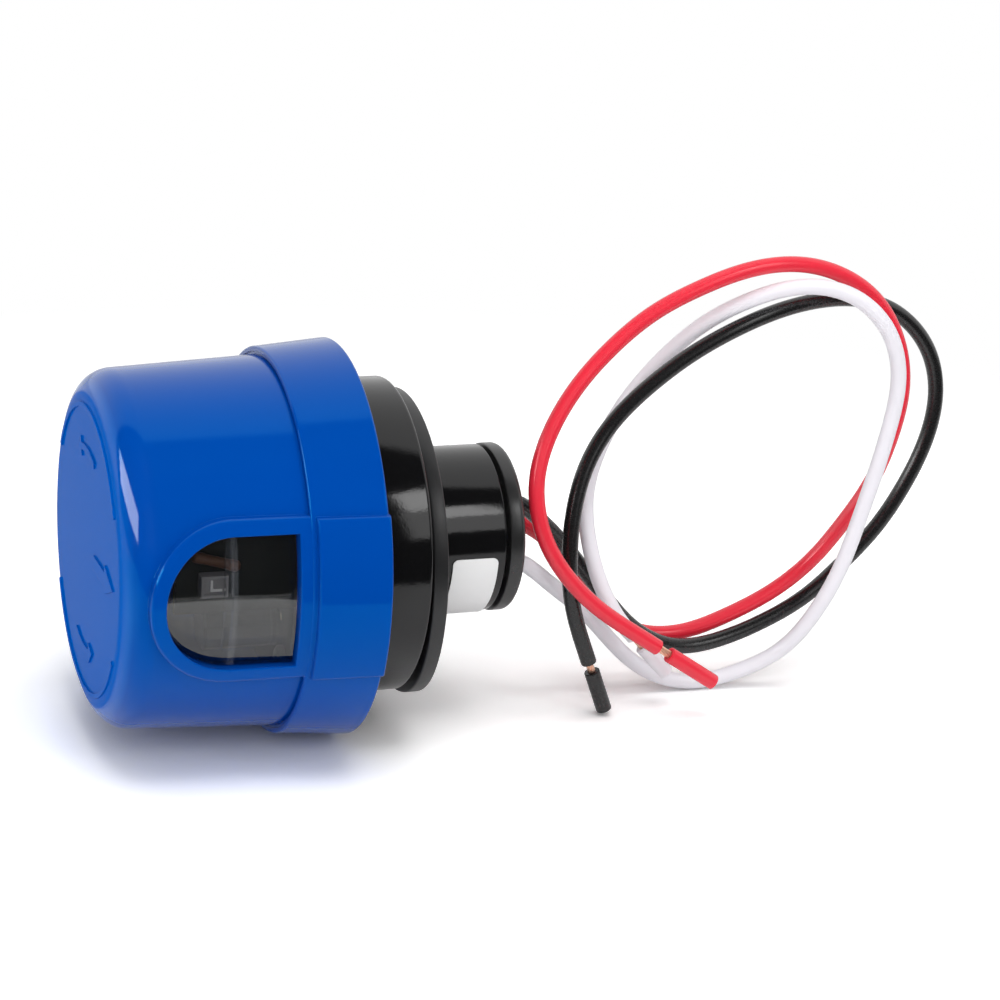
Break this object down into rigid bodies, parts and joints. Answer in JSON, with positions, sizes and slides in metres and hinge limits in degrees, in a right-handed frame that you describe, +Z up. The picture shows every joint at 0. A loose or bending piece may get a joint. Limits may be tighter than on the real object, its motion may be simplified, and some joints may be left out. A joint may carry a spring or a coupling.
{
  "type": "photocell switch",
  "caption": "Twist-lock photocell switch: blue cap with a dark light window, plugged into a black wired receptacle with loose leads.",
  "frame": {"origin": "under the middle of the box of the switch without its leads, on the table", "axes": "+X along the common axis from the cap's domed end to the leads, -Y the side of the light window, +Z up"},
  "size_m": [0.1986, 0.0848, 0.1],
  "materials": {
    "blue_moulding": "semi-gloss moulded polypropylene, solid blue",
    "smoked_window": "glossy smoked polycarbonate",
    "black_moulding": "semi-gloss black phenolic moulding",
    "dark_base": "satin black moulding",
    "gasket_rubber": "matte black foam rubber",
    "brass_strip": "plain stamped brass",
    "screw_steel": "zinc-plated steel",
    "copper_strands": null,
    "board_green": "glass-epoxy board with green solder resist",
    "relay_black": "satin black box",
    "film_yellow": "satin yellow box",
    "can_sleeve": "shrink sleeve on an aluminium can",
    "disc_blue": "dipped blue epoxy",
    "resistor_tan": "tan lacquer",
    "clear_epoxy": "clear moulded epoxy",
    "label_white": "white satin adhesive label, bare",
    "red_insulation": "satin red wire insulation",
    "white_insulation": "satin white wire insulation",
    "black_insulation": "satin black wire insulation"
  },
  "bodies": {
    "receptacle": {"receptacle_housing": "black_moulding", "receptacle_face": "black_moulding", "face_screw_1": "screw_steel", "face_screw_2": "screw_steel", "face_screw_3": "screw_steel", "contact_neutral": "brass_strip", "contact_line": "brass_strip", "contact_load": "brass_strip", "mounting_gasket": "gasket_rubber", "end_cap": "dark_base", "label": "label_white", "lead_red": "red_insulation", "lead_white": "white_insulation", "lead_black": "black_insulation", "strands_red": "copper_strands", "strands_white": "copper_strands", "strands_black": "copper_strands", "slug_red": "red_insulation", "slug_white": "white_insulation", "slug_black": "black_insulation"},
    "photocontrol": {"cap": "blue_moulding", "window_lens": "smoked_window", "base_plate": "dark_base", "base_gasket": "gasket_rubber", "base_screw_1": "screw_steel", "base_screw_2": "screw_steel", "base_screw_3": "screw_steel", "blade_neutral": "brass_strip", "blade_line": "brass_strip", "blade_load": "brass_strip", "circuit_board": "board_green", "board_screw_1": "screw_steel", "board_screw_2": "screw_steel", "board_screw_3": "screw_steel", "relay": "relay_black", "film_capacitor": "film_yellow", "electrolytic_capacitor": "can_sleeve", "varistor": "disc_blue", "power_resistor": "resistor_tan", "sensor_board": "board_green", "light_sensor": "clear_epoxy", "sensor_resistor": "resistor_tan"}
  },
  "joints": [
    {"name": "twist_lock", "type": "hinge", "parent": "receptacle", "child": "photocontrol", "pos_m": [0.00717, 0.00051, 0.04189], "axis": [-1, 0, 0], "range_deg": [0, 15]}
  ]
}
